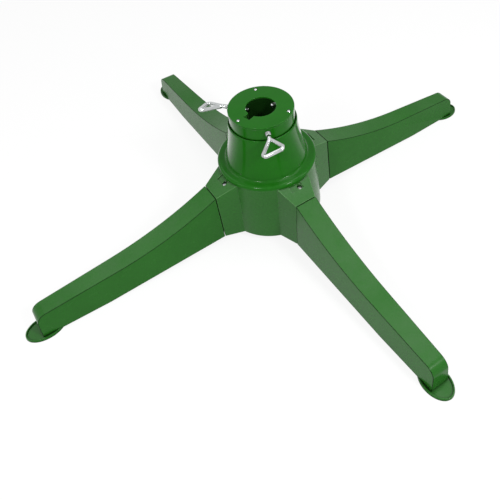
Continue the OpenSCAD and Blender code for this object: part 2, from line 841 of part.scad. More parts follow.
module hub_body() {
    color(paint) difference() {
        union() {
            difference() {
                union() {
                    translate([0, 0, hub_z]) cylinder(r1 = drum_foot_r, r2 = drum_r, h = hub_h);
                    for (a = arm_az) rotate([0, 0, a]) arm_solid();
                }
                translate([0, 0, hub_z - 1])
                    cylinder(r1 = drum_in(hub_z - 1), r2 = drum_in(hub_top - web_t), h = hub_h + 1 - web_t);
                translate([0, 0, hub_z]) cylinder(r = web_in_r, h = hub_h + 1);
                for (a = arm_az) rotate([0, 0, a]) arm_cavity();
            }
            for (a = arm_az) rotate([0, 0, a]) arm_inside();
            for (a = arm_az) rotate([0, 0, a + hub_boss_az]) hub_post();
        }
        for (a = arm_az) rotate([0, 0, a]) translate([leg_screw_x, leg_screw_y, shelf_z]) {
            cylinder(r = leg_hole_r, h = hub_h);
            translate([0, 0, -shelf_t - 1]) cylinder(r = m4_r + fit_gap, h = shelf_t + 2);
        }
        around(4, base_screw_circle, hub_boss_az) translate([0, 0, base_top - 1])
            cylinder(r = m4_r + thread_gap, h = hub_boss_h);
        around(4, cover_screw_circle, cover_screw_az) translate([0, 0, hub_top - web_t - 1])
            cylinder(r = m4_r + fit_gap, h = web_t + 2);
        rotate([0, 0, grommet_az]) translate([drum_in(grommet_z) - 2, 0, grommet_z]) rotate([0, 90, 0])
            cylinder(r = grommet_r + thread_gap, h = wall + 4);
    }
}

module cord_grommet() {
    lip = 1.6;
    lip_gap = 0.8;
    length = wall + 2 * lip + 2 * lip_gap;
    color(dark) rotate([0, 0, grommet_az])
        translate([drum_in(grommet_z) - lip - lip_gap, 0, grommet_z]) rotate([0, 90, 0]) difference() {
            union() {
                cylinder(r = grommet_r, h = length - 0.5);
                cylinder(r = grommet_r + 1.8, h = lip);
                translate([0, 0, length - lip]) cylinder(r = grommet_r + 1.8, h = lip);
            }
            translate([0, 0, -1]) cylinder(r = cord_r, h = length + 2);
        }
}

module base_plate() {
    color(dark) difference() {
        union() {
            translate([0, 0, base_z]) intersection() {
                cylinder(r = drum_in(base_top) - 2 * fit_gap, h = base_t);
                translate([-base_flat, -base_flat, -1]) cube([2 * base_flat, 2 * base_flat, base_t + 2]);
            }
            translate([0, 0, base_top - 1]) washer(race_out_r + 2.5, race_in_r - 3, race_seat_t + 1);
            translate([0, 0, race_z - 1]) washer(race_out_r + 2.5, race_out_r + fit_gap, race_t);
        }
        around(4, base_screw_circle, hub_boss_az) translate([0, 0, base_z - 1]) {
            cylinder(r = m4_r + fit_gap, h = base_t + 2);
            cylinder(r = m4_head_r + fit_gap, h = base_head_h + 1);
        }
        rotate([0, 0, motor_az]) for (side = [-1, 1])
            translate([gear_centres, side * bracket_screw_y, base_z - 1])
                cylinder(r = m3_r + thread_gap, h = base_t + 2);
    }
}

module base_screws() {
    color(steel) around(4, base_screw_circle, hub_boss_az) translate([0, 0, base_z + base_head_h])
        rotate([180, 0, 0]) pan_screw(m4_r, base_t + base_grip, m4_head_r, base_head_h);
}

// ---- Legs and feet, each drawn along +X ----

// A leg's side outline from the shoulder to the nose; t draws its top and end in
module leg_outline(t) {
    nose_z = leg_tip_z - nose_r * cos(leg_fall);
    end_drop = nose_z + nose_r * sin(nose_lean) - foot_t;
    nose_c = [leg_reach - end_drop * tan(nose_lean) - nose_r * cos(nose_lean), nose_z];
    fall = [sin(leg_fall), cos(leg_fall)];
    tip = nose_c + nose_r * fall;
    bend = [leg_bend_x, tip[1] + (tip[0] - leg_bend_x) * tan(leg_fall)];
    root = [leg_shoulder, leg_root_z];
    chord = root - bend;
    sweep_r = (chord * chord) / (2 * (chord * fall));
    centre = bend + sweep_r * fall;
    a_root = atan2(root[1] - centre[1], root[0] - centre[0]);
    a_bend = atan2(bend[1] - centre[1], bend[0] - centre[0]);
    inset = t > 0 ? t : 0;
    x0 = leg_shoulder + inset;
    polygon(concat(
        [[x0, t > 0 ? -1 : hub_z]],
        arc(centre, sweep_r + t, a_root, a_bend, 20),
        arc(nose_c, nose_r - t, 90 - leg_fall, nose_lean, 10),
        t > 0 ? [[leg_reach - t / cos(nose_lean) + (foot_t + 1) * tan(nose_lean), -1]]
            : [[leg_reach, foot_t], [leg_flat_x, foot_t]]));
}

module leg_block(t) {
    intersection() {
        slab(4 * arm_end_hw) leg_outline(t);
        side_space(leg_shoulder, arm_end_hw - t, leg_reach, leg_tip_hw - t);
        mirror([0, 1, 0]) side_space(leg_shoulder, arm_end_hw - t, leg_reach, leg_tip_hw - t);
    }
}

// The tongue that plugs into an arm, in outline
module tongue_outline(t) {
    top_z = shelf_z - shelf_t - fit_gap;
    end_z = arm_end_z - arm_top_t - fit_gap;
    knee_x = arm_reach - (top_z - end_z) / arm_rise;
    x1 = leg_shoulder + 1;
    bottom = t > 0 ? tongue_z - 1 : tongue_z;
    polygon([[tongue_x + t, bottom], [x1, bottom],
        [x1, end_z - t - arm_rise * (x1 - arm_reach)], [knee_x, top_z - t], [tongue_x + t, top_z - t]]);
}

module tongue() {
    difference() {
        slab(2 * tongue_hw) tongue_outline(0);
        difference() {
            slab(2 * (tongue_hw - wall)) tongue_outline(wall);
            translate([leg_screw_x, leg_screw_y, shelf_z - leg_boss_h])
                cylinder(r = foot_boss_r, h = leg_boss_h);
        }
        translate([leg_screw_x, leg_screw_y, shelf_z - leg_boss_h + 1])
            cylinder(r = m4_r + thread_gap, h = leg_boss_h);
    }
}

// A foot's outside, grown by a gap; it starts 1 mm below the floor
module foot_shape(gap) {
    lean = foot_slope / foot_h;
    a = foot_a + gap + lean;
    b = foot_b + gap + lean;
    h = foot_h + gap + 1;
    translate([0, 0, -1]) scale([1, b / a, 1]) cylinder(r1 = a, r2 = a - lean * h, h = h);
}

// The hollow of a foot's dish from z0 up, with its sides drawn in by a gap
module foot_hollow(gap, z0) {
    t = foot_slope + foot_rim + gap;
    translate([0, 0, z0]) scale([1, (foot_b - t) / (foot_a - t), 1])
        cylinder(r = foot_a - t, h = 2 * foot_h);
}

module leg_solid() {
    difference() {
        union() {
            difference() {
                leg_block(0);
                leg_block(wall);
            }
            intersection() {
                leg_block(wall / 2);
                union() {
                    for (x = leg_ribs) translate([x, -2 * arm_end_hw, hub_z + leg_rib_clear])
                        cube([leg_rib_t, 4 * arm_end_hw, stand_h]);
                    translate([foot_x, 0, foot_t]) cylinder(r = foot_boss_r, h = foot_boss_h);
                    translate([foot_x - 1, -2 * arm_end_hw, foot_h + 1])
                        cube([leg_rib_t, 4 * arm_end_hw, foot_boss_h]);
                }
            }
            tongue();
        }
        translate([foot_x, 0, -1]) cylinder(r = m4_r + thread_gap, h = foot_boss_h);
        translate([foot_x, 0, 0]) difference() {
            foot_shape(fit_gap);
            foot_hollow(fit_gap, -2);
        }
    }
}

// A shallow oval dish with a flat bottom on the floor
module foot_solid() {
    translate([foot_x, 0, 0]) difference() {
        foot_shape(0);
        foot_hollow(0, foot_t);
        translate([-2 * foot_a, -2 * foot_a, -2]) cube([4 * foot_a, 4 * foot_a, 2]);
        translate([0, 0, -1]) cylinder(r = m4_r + fit_gap, h = foot_t + 2);
        translate([0, 0, -1]) cylinder(r = m4_head_r + fit_gap, h = 1 + foot_head_h + fit_gap);
    }
}

module leg(k) {
    color(paint) rotate([0, 0, 90 * k]) leg_solid();
}

module foot(k) {
    color(paint) rotate([0, 0, 90 * k]) foot_solid();
}

module leg_right() { leg(0); }
module leg_back() { leg(1); }
module leg_left() { leg(2); }
module leg_front() { leg(3); }
module foot_right() { foot(0); }
module foot_back() { foot(1); }
module foot_left() { foot(2); }
module foot_front() { foot(3); }

module leg_screws() {
    color(steel) for (a = arm_az) rotate([0, 0, a]) translate([leg_screw_x, leg_screw_y, shelf_z])
        pan_screw(m4_r, leg_screw_l, leg_head_r, leg_head_h);
}

module foot_screws() {
    color(steel) around(4, foot_x, 0) translate([0, 0, foot_head_h + fit_gap]) rotate([180, 0, 0])
        pan_screw(m4_r, foot_screw_l, m4_head_r, foot_head_h);
}

top_plate();
plate_screws();
collar();
clamp_nuts();
snap_ring();
pole_tube();
main_gear();
gear_screws();
upper_race();
clamp_screw_front();
clamp_screw_left();
set_screw();
bearing_balls();
ball_cage();
lower_race();
drive_pinion();
motor_shaft();
gear_case();
motor_can();
motor_bracket();
motor_screws();
bracket_screws();
bell_cover();
cover_screws();
top_bush();
hub_body();
base_plate();
base_screws();
cord_grommet();
leg_screws();
leg_left();
leg_front();
leg_right();
leg_back();
foot_left();
foot_front();
foot_right();
foot_back();
foot_screws();
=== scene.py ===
"""Rotating tree stand: the moulded shells, chromed loop screws and studio around the CAD frame."""
import json
import math

import bmesh
import bpy
from mathutils import Matrix, Quaternion, Vector


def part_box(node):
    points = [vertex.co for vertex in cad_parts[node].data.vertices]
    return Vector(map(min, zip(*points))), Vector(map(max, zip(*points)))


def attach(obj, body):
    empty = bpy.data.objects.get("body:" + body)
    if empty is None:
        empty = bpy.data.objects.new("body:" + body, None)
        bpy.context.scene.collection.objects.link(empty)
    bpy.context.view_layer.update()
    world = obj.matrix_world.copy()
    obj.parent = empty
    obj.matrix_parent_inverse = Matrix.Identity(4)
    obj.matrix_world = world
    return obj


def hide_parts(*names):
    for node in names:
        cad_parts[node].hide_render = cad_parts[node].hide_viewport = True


MM = 0.001

# ---- Camera, first of all ----

# Where the photograph was taken from: distance, height angle, and the direction of the
# axis seen from the camera, then how far the camera is turned, tilted and rolled off it
CAMERA_DISTANCE = 0.86952
CAMERA_HEIGHT_ANGLE = 48.01523
CAMERA_AZIMUTH = -117.43306
CAMERA_TURN = -3.9068
CAMERA_TILT = 1.85268
CAMERA_ROLL = 7.53968
LENS_MM = 42.5882
SHIFT_X = -0.122
SHIFT_Y = -0.140


def add_camera():
    height = math.radians(CAMERA_HEIGHT_ANGLE)
    place = CAMERA_DISTANCE * Vector((0, -math.cos(height), math.sin(height)))
    forward = -place.normalized()
    right = Vector((1, 0, 0))
    up = right.cross(forward)
    turn = Quaternion(up, math.radians(CAMERA_TURN))
    forward, right = turn @ forward, turn @ right
    tilt = Quaternion(right, math.radians(CAMERA_TILT))
    forward, up = tilt @ forward, tilt @ up
    roll = Quaternion(forward, math.radians(CAMERA_ROLL))
    right, up = roll @ right, roll @ up
    spin = Matrix.Rotation(math.radians(CAMERA_AZIMUTH + 90), 4, "Z")
    frame_of_view = Matrix((right, up, -forward)).transposed().to_4x4()
    camera = bpy.data.objects.new("camera", bpy.data.cameras.new("camera"))
    camera.matrix_world = spin @ Matrix.Translation(place) @ frame_of_view
    camera.data.sensor_width = 36
    camera.data.lens = LENS_MM
    camera.data.shift_x = SHIFT_X
    camera.data.shift_y = SHIFT_Y
    camera.data.clip_end = 50
    bpy.context.scene.collection.objects.link(camera)
    bpy.context.scene.camera = camera


bpy.ops.wm.read_factory_settings(use_empty=True)
add_camera()
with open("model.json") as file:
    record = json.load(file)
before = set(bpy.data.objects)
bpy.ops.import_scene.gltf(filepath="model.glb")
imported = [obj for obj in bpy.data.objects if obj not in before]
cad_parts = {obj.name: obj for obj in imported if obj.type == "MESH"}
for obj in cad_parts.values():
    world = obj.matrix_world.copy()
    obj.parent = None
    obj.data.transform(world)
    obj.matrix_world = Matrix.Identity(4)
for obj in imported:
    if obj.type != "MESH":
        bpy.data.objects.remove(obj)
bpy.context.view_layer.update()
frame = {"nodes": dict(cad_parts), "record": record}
bodies = {}
for body, members in frame["record"]["behaviour"]["bodies"].items():
    for member in members:
        bodies[member] = body
slots = {row["node"]: row["material_slot"] for row in frame["record"]["subparts"]}


# ---- Node helpers ----


def feed(tree, socket, value):
    """Link a node's output to a socket, or set a plain value on it."""
    if isinstance(value, bpy.types.NodeSocket):
        tree.links.new(value, socket)
    else:
        socket.default_value = value


def calc(tree, operation, *values):
    node = tree.nodes.new("ShaderNodeMath")
    node.operation = operation
    for socket, value in zip(node.inputs, values):
        feed(tree, socket, value)
    return node.outputs[0]


def span(tree, value, low, high, to_low=0.0, to_high=1.0):
    node = tree.nodes.new("ShaderNodeMapRange")
    for socket, item in zip(node.inputs[:5], (value, low, high, to_low, to_high)):
        feed(tree, socket, item)
    return node.outputs[0]


def noise(tree, vector, scale, detail, rough=0.5):
    node = tree.nodes.new("ShaderNodeTexNoise")
    feed(tree, node.inputs["Vector"], vector)
    feed(tree, node.inputs["Scale"], scale)
    feed(tree, node.inputs["Detail"], detail)
    feed(tree, node.inputs["Roughness"], rough)
    return node.outputs["Fac"]


def blended(tree, share, first, second):
    node = tree.nodes.new("ShaderNodeMix")
    node.data_type = "RGBA"
    feed(tree, node.inputs[0], share)
    feed(tree, node.inputs[6], first)
    feed(tree, node.inputs[7], second)
    return node.outputs[2]


def object_place(tree):
    return tree.nodes.new("ShaderNodeTexCoord").outputs["Object"]


def new_group(name, inputs, outputs):
    tree = bpy.data.node_groups.new(name, "ShaderNodeTree")
    for label, start in inputs.items():
        kind = "NodeSocketVector" if isinstance(start, tuple) else "NodeSocketFloat"
        socket = tree.interface.new_socket(label, in_out="INPUT", socket_type=kind)
        socket.default_value = start
    for label in outputs:
        tree.interface.new_socket(label, in_out="OUTPUT", socket_type="NodeSocketFloat")
    return tree, tree.nodes.new("NodeGroupInput"), tree.nodes.new("NodeGroupOutput")


def placed(tree, group, **values):
    node = tree.nodes.new("ShaderNodeGroup")
    node.node_tree = group
    for label, value in values.items():
        feed(tree, node.inputs[label.replace("_", " ")], value)
    return node


# ---- Effects that several finishes share ----


def moulded_skin():
    """The fine pebbled skin of moulded plastic, and its slow changes of shade."""
    group, given, result = new_group(
        "moulded skin", {"Grain Scale": 900.0, "Mottle Scale": 14.0}, ("Height", "Mottle", "Flow")
    )
    place = object_place(group)
    grain = noise(group, place, given.outputs["Grain Scale"], 2.0, 0.6)
    pebble_scale = calc(group, "MULTIPLY", given.outputs["Grain Scale"], 0.22)
    pebble = noise(group, place, pebble_scale, 2.0)
    height = calc(group, "ADD", calc(group, "MULTIPLY", grain, 0.6),
                  calc(group, "MULTIPLY", pebble, 0.4))
    mottle = noise(group, place, given.outputs["Mottle Scale"], 3.0, 0.55)
    flow_scale = calc(group, "MULTIPLY", given.outputs["Mottle Scale"], 5.5)
    flow = noise(group, place, flow_scale, 4.0, 0.6)
    group.links.new(height, result.inputs["Height"])
    group.links.new(span(group, mottle, 0.32, 0.68), result.inputs["Mottle"])
    group.links.new(span(group, flow, 0.3, 0.7), result.inputs["Flow"])
    return group


def painted_edge_mask():
    """Where a sharp edge is near: the normals around a point differ from its own. The finishes
    paint highlight and shade along edges with this mask.
    """
    group, given, result = new_group("painted edge", {"Reach": 0.0008, "Break Up": 0.4}, ("Edge",))
    wide = group.nodes.new("ShaderNodeBevel")
    wide.samples = 8
    group.links.new(given.outputs["Reach"], wide.inputs["Radius"])
    own = group.nodes.new("ShaderNodeNewGeometry").outputs["Normal"]
    cosine = group.nodes.new("ShaderNodeVectorMath")
    cosine.operation = "DOT_PRODUCT"
    group.links.new(wide.outputs["Normal"], cosine.inputs[0])
    group.links.new(own, cosine.inputs[1])
    sharp = span(group, cosine.outputs["Value"], 0.985, 0.92)
    patches = noise(group, object_place(group), 160.0, 3.0, 0.6)
    least = calc(group, "SUBTRACT", 1.0, given.outputs["Break Up"])
    held = span(group, patches, 0.35, 0.65, least, 1.0)
    group.links.new(calc(group, "MULTIPLY", sharp, held), result.inputs["Edge"])
    return group


def settled_dust():
    """A thin film of dust on what faces up, in soft patches with a few specks."""
    group, given, result = new_group(
        "settled dust", {"Amount": 0.3, "Speck Scale": 1500.0}, ("Dust",)
    )
    normal = group.nodes.new("ShaderNodeNewGeometry").outputs["Normal"]
    parts = group.nodes.new("ShaderNodeSeparateXYZ")
    group.links.new(normal, parts.inputs[0])
    upward = span(group, parts.outputs["Z"], 0.2, 0.98)
    place = object_place(group)
    film = span(group, noise(group, place, 22.0, 4.0, 0.6), 0.35, 0.75)
    specks = span(group, noise(group, place, given.outputs["Speck Scale"], 1.0), 0.70, 0.76)
    cover = calc(group, "ADD", calc(group, "MULTIPLY", film, 0.7),
                 calc(group, "MULTIPLY", specks, 0.5))
    dust = calc(group, "MULTIPLY", calc(group, "MULTIPLY", cover, upward), given.outputs["Amount"])
    group.links.new(dust, result.inputs["Dust"])
    return group


def crease_shade_mask():
    """How closed in a point is by what stands around it: a mask for painted shade in creases and
    seams.
    """
    group, given, result = new_group("crease shade mask", {"Reach": 0.006}, ("Crease",))
    shade = group.nodes.new("ShaderNodeAmbientOcclusion")
    shade.samples = 6
    group.links.new(given.outputs["Reach"], shade.inputs["Distance"])
    group.links.new(span(group, shade.outputs["AO"], 0.86, 0.3), result.inputs["Crease"])
    return group


def worked_metal():
    """Fine drawn or turned marks on metal, and the clouding of its plate."""
    group, given, result = new_group(
        "worked metal", {"Stretch": (400.0, 400.0, 4000.0), "Cloud Scale": 60.0}, ("Marks", "Cloud")
    )
    place = object_place(group)
    drawn = group.nodes.new("ShaderNodeVectorMath")
    drawn.operation = "MULTIPLY"
    group.links.new(place, drawn.inputs[0])
    group.links.new(given.outputs["Stretch"], drawn.inputs[1])
    marks = noise(group, drawn.outputs[0], 1.0, 3.0, 0.65)
    cloud = noise(group, place, given.outputs["Cloud Scale"], 4.0, 0.6)
    group.links.new(marks, result.inputs["Marks"])
    group.links.new(span(group, cloud, 0.35, 0.65), result.inputs["Cloud"])
    return group


SKIN = moulded_skin()
EDGE_PAINT_MASK = painted_edge_mask()
DUST = settled_dust()
CREASE_SHADE_MASK = crease_shade_mask()
METAL = worked_metal()


# ---- Finishes ----


def new_material(name):
    made = bpy.data.materials.new(name)
    made.use_nodes = True
    tree = made.node_tree
    tree.nodes.clear()
    out = tree.nodes.new("ShaderNodeOutputMaterial")
    shader = tree.nodes.new("ShaderNodeBsdfPrincipled")
    tree.links.new(shader.outputs["BSDF"], out.inputs["Surface"])
    return made, tree, shader


def bump(tree, shader, height, depth):
    node = tree.nodes.new("ShaderNodeBump")
    node.inputs["Strength"].default_value = 1
    node.inputs["Distance"].default_value = depth
    tree.links.new(height, node.inputs["Height"])
    tree.links.new(node.outputs["Normal"], shader.inputs["Normal"])


DUST_COLOUR = (0.20, 0.24, 0.19, 1)
# Painted shade in creases and seams goes down to this share of the shade colour
CREASE_SHADE_SHARE = 0.06
COAT_ROUGHNESS = 0.14


def plastic(name, colour, shade, gloss, specular, grain, edge, crease, dust, glaze=0):
    """Moulded plastic. colour and shade are its light and dark patches, gloss its lowest and
    highest roughness, grain its scale and depth, edge a colour painted along sharp edges, with its
    reach and share: a lighter one is a painted highlight, a darker one painted shade. crease is how
    much painted shade darkens creases and seams, dust how much dust shows, and glaze is the sheen
    where a face turns away."""
    made, tree, shader = new_material(name)
    shader.inputs["Specular IOR Level"].default_value = specular
    skin = placed(tree, SKIN, Grain_Scale=grain[0], Mottle_Scale=14.0)
    rim = placed(tree, EDGE_PAINT_MASK, Reach=edge[1], Break_Up=0.35)
    corner = placed(tree, CREASE_SHADE_MASK, Reach=0.005)
    film = placed(tree, DUST, Amount=dust, Speck_Scale=1500.0)
    patch = calc(tree, "MULTIPLY_ADD", skin.outputs["Flow"], 0.35,
                 calc(tree, "MULTIPLY", skin.outputs["Mottle"], 0.65))
    tone = blended(tree, patch, (*shade, 1), (*colour, 1))
    # Painted highlight and painted shade: the edge colour mixed in along sharp edges
    tone = blended(tree, calc(tree, "MULTIPLY", rim.outputs["Edge"], edge[2]), tone, (*edge[0], 1))
    # Painted shade: creases and seams darkened towards a near-black copy of the shade colour
    painted_shade = tuple(CREASE_SHADE_SHARE * part for part in shade)
    tone = blended(tree, calc(tree, "MULTIPLY", corner.outputs["Crease"], crease), tone, (*painted_shade, 1))
    tone = blended(tree, film.outputs["Dust"], tone, DUST_COLOUR)
    tree.links.new(tone, shader.inputs["Base Color"])
    rough = span(tree, skin.outputs["Flow"], 0.0, 1.0, gloss[0], gloss[1])
    rough = calc(tree, "MULTIPLY_ADD", film.outputs["Dust"], 0.5, rough)
    tree.links.new(calc(tree, "MINIMUM", rough, 0.95), shader.inputs["Roughness"])
    if glaze:
        shader.inputs["Coat Roughness"].default_value = COAT_ROUGHNESS
        facing = tree.nodes.new("ShaderNodeLayerWeight")
        facing.inputs["Blend"].default_value = 0.5
        turned_away = span(tree, facing.outputs["Facing"], 0.45, 0.9, 0.0, glaze)
        tree.links.new(turned_away, shader.inputs["Coat Weight"])
    bump(tree, shader, skin.outputs["Height"], grain[1])
    return made


def metal(name, colour, tarnish, gloss, stretch, depth, edge=0.3):
    """Metal with drawn or turned marks. tarnish is the colour of its clouded patches, stretch
    the marks' scale along each axis, and edge how much lighter its base colour is painted along
    sharp edges, a painted highlight."""
    made, tree, shader = new_material(name)
    shader.inputs["Metallic"].default_value = 1
    work = placed(tree, METAL, Stretch=stretch, Cloud_Scale=60.0)
    rim = placed(tree, EDGE_PAINT_MASK, Reach=0.0004, Break_Up=0.5)
    clouded = calc(tree, "MULTIPLY", work.outputs["Cloud"], 0.7)
    tone = blended(tree, clouded, (*colour, 1), (*tarnish, 1))
    # Painted highlight: sharp edges get a lighter base colour
    bright = tuple(min(1, 1.25 * part) for part in colour)
    tone = blended(tree, calc(tree, "MULTIPLY", rim.outputs["Edge"], edge), tone, (*bright, 1))
    tree.links.new(tone, shader.inputs["Base Color"])
    rough = span(tree, work.outputs["Marks"], 0.3, 0.7, gloss[0], gloss[1])
    rough = calc(tree, "MULTIPLY_ADD", work.outputs["Cloud"], 0.06, rough)
    tree.links.new(rough, shader.inputs["Roughness"])
    bump(tree, shader, work.outputs["Marks"], depth)
    return made


# The greens: fuller and duller patches of the hub and legs, then of the glossy turned top, the
# painted highlight put along sharp edges as a pale green, and the painted shade put along the legs'
# edges as a near-black green
FULL_GREEN = (0.0150, 0.104, 0.0100)
DULL_GREEN = (0.0115, 0.090, 0.0075)
DEEP_GREEN = (0.0075, 0.104, 0.0030)
DEEP_SHADE = (0.0055, 0.088, 0.0022)
PAINTED_EDGE_HIGHLIGHT = (0.110, 0.240, 0.100)
PAINTED_EDGE_SHADE = (0.002, 0.026, 0.001)
# Scales of the marks on turned metal, and on metal with no direction
TURNED = (500.0, 500.0, 5000.0)
EVEN = (2500.0, 2500.0, 2500.0)

finishes = {
    "green_top": plastic(
        "green plastic, turned top", DEEP_GREEN, DEEP_SHADE, (0.13, 0.20), 0.12,
        (1400.0, 0.00001), (PAINTED_EDGE_HIGHLIGHT, 0.0010, 0.5), 0.9, 0.03, 0.9),
    "green_body": plastic(
        "green plastic, hub", FULL_GREEN, DULL_GREEN, (0.22, 0.32), 0.20,
        (1000.0, 0.00004), (PAINTED_EDGE_HIGHLIGHT, 0.0010, 0.5), 0.9, 0.05, 0.15),
    "green_leg": plastic(
        "green plastic, legs", FULL_GREEN, DULL_GREEN, (0.20, 0.30), 0.11,
        (1000.0, 0.00004), (PAINTED_EDGE_SHADE, 0.0013, 0.8), 0.9, 0.08, 0.2),
    # The hub's rounded edge strip is a lighter green: a painted highlight
    "hub_edge": plastic(
        "green plastic, hub's edge, painted highlight", (0.060, 0.190, 0.048), (0.040, 0.150, 0.032),
        (0.22, 0.32), 0.3, (1000.0, 0.00002), (PAINTED_EDGE_HIGHLIGHT, 0.0010, 0.3), 0.9, 0.0),
    # The legs' rounded edge strip is a near-black green: painted shade
    "leg_edge": plastic(
        "green plastic, legs' edge, painted shade", PAINTED_EDGE_SHADE, (0.003, 0.020, 0.002),
        (0.4, 0.5), 0.1, (1000.0, 0.00004), (PAINTED_EDGE_SHADE, 0.0010, 0.2), 0.5, 0.0),
    "zinc": metal(
        "zinc plate", (0.74, 0.75, 0.77), (0.60, 0.60, 0.58), (0.18, 0.32), EVEN, 0.00001),
    "spring_steel": metal(
        "blued spring steel", (0.16, 0.18, 0.23), (0.10, 0.09, 0.10), (0.28, 0.42), EVEN, 0.00001),
    "tube_steel": plastic(
        "green enamelled tube", (0.0050, 0.028, 0.0035), (0.0035, 0.019, 0.0025), (0.12, 0.2), 0.5,
        (1200.0, 0.00001), (PAINTED_EDGE_HIGHLIGHT, 0.0010, 0.4), 0.4, 0.0),
    "bearing_steel": metal(
        "ground bearing steel", (0.76, 0.77, 0.79), (0.66, 0.67, 0.69), (0.08, 0.16),
        TURNED, 0.000004),
    "chrome_rod": metal(
        "chromed rod", (0.56, 0.58, 0.58), (0.36, 0.38, 0.37), (0.07, 0.14), EVEN, 0.000004, 0.1),
    # The lighter edge colours of gear nylon, black plastic and black rubber are painted highlights
    "gear_nylon": plastic(
        "gear nylon", (0.78, 0.75, 0.66), (0.70, 0.66, 0.56), (0.38, 0.5), 0.5,
        (1200.0, 0.00003), ((0.86, 0.85, 0.8), 0.0005, 0.4), 0.5, 0.05),
    "brass_cage": metal(
        "rolled brass", (0.80, 0.60, 0.25), (0.62, 0.42, 0.16), (0.2, 0.34), TURNED, 0.00001),
    "motor_steel": metal(
        "passivated motor steel", (0.52, 0.53, 0.54), (0.44, 0.42, 0.36), (0.26, 0.4),
        TURNED, 0.00001),
    "black_plate": plastic(
        "black plastic", (0.022, 0.022, 0.023), (0.015, 0.015, 0.016), (0.42, 0.56), 0.4,
        (900.0, 0.00006), ((0.07, 0.07, 0.07), 0.0007, 0.5), 0.6, 0.15),
    "black_rubber": plastic(
        "black rubber", (0.024, 0.023, 0.022), (0.014, 0.014, 0.014), (0.62, 0.8), 0.3,
        (700.0, 0.00008), ((0.06, 0.06, 0.058), 0.0006, 0.4), 0.6, 0.2),
}
for node, piece in frame["nodes"].items():
    piece.data.materials.clear()
    piece.data.materials.append(finishes[slots[node]])


# ---- Pieces that keep a solid's shape but have moulded, rounded edges ----

# Faces within FLAT_ANGLE are one flat face, and edges that turn by more than EDGE_ANGLE are corners
FLAT_ANGLE = math.radians(0.4)
EDGE_ANGLE = math.radians(32)
CORNER_SEGMENTS = 3
# Vertices closer than this, in metres, are joined
FINE_WELD = 1e-6
WELD = 2e-6


def stands_for(piece, node):
    """Ride with the CAD solid's body, and replace the solid by hiding it."""
    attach(piece, bodies[node])
    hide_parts(node)


def rounded(node, name, width, finish=None, edge_finish=None):
    """A copy of a CAD solid whose outer corners are rounded to width, in metres. finish and
    edge_finish name another finish for the piece and for the rounded strip."""
    mesh = frame["nodes"][node].data.copy()
    if finish:
        mesh.materials[0] = finishes[finish]
    piece = bpy.data.objects.new(name, mesh)
    bpy.context.scene.collection.objects.link(piece)
    shell = bmesh.new()
    shell.from_mesh(mesh)
    bmesh.ops.remove_doubles(shell, verts=shell.verts, dist=WELD)
    bmesh.ops.dissolve_limit(
        shell, angle_limit=FLAT_ANGLE, verts=shell.verts, edges=shell.edges,
        use_dissolve_boundaries=False,
    )
    weight = shell.edges.layers.float.new("bevel_weight_edge")
    for edge in shell.edges:
        if edge.calc_face_angle(0) > EDGE_ANGLE:
            edge[weight] = 1 if edge.is_convex else 0
            edge.smooth = edge.is_convex
    shell.to_mesh(mesh)
    shell.free()
    if "custom_normal" in mesh.attributes:
        mesh.attributes.remove(mesh.attributes["custom_normal"])
    for face in mesh.polygons:
        face.use_smooth = True
    bevel = piece.modifiers.new("rounded edges", "BEVEL")
    bevel.width = width
    bevel.segments = CORNER_SEGMENTS
    bevel.limit_method = "WEIGHT"
    bevel.use_clamp_overlap = False
    bevel.miter_outer = "MITER_ARC"
    bevel.harden_normals = True
    if edge_finish:
        mesh.materials.append(finishes[edge_finish])
        bevel.material = 1
    stands_for(piece, node)
    return piece


rounded("top_plate", "top_disc", 0.5 * MM)
rounded("collar", "collar_shell", 0.35 * MM)
rounded("bell_cover", "cover_shell", 0.4 * MM, finish="green_top")
rounded("hub_body", "hub_shell", 0.35 * MM, edge_finish="hub_edge")
for side in ("left", "front", "right", "back"):
    rounded(f"leg_{side}", f"leg_shell_{side}", 0.6 * MM, edge_finish="leg_edge")
    rounded(f"foot_{side}", f"foot_dish_{side}", 0.5 * MM)


# ---- Turned and bent pieces ----


def finish_shell(shell, name, smooth_angle=35):
    """Merge, face outwards and shade a bmesh, and make it an object at the origin."""
    bmesh.ops.remove_doubles(shell, verts=shell.verts, dist=FINE_WELD)
    bmesh.ops.recalc_face_normals(shell, faces=shell.faces)
    mesh = bpy.data.meshes.new(name)
    shell.to_mesh(mesh)
    shell.free()
    mesh.shade_smooth()
    mesh.set_sharp_from_angle(angle=math.radians(smooth_angle))
    piece = bpy.data.objects.new(name, mesh)
    bpy.context.scene.collection.objects.link(piece)
    return piece


def chain(shell, points):
    verts = [shell.verts.new(point) for point in points]
    edges = [shell.edges.new(pair) for pair in zip(verts, verts[1:])]
    return verts, edges


def ring_edges(geometry):
    return [item for item in geometry if isinstance(item, bmesh.types.BMEdge)]


def ring_verts(geometry):
    return [item for item in geometry if isinstance(item, bmesh.types.BMVert)]


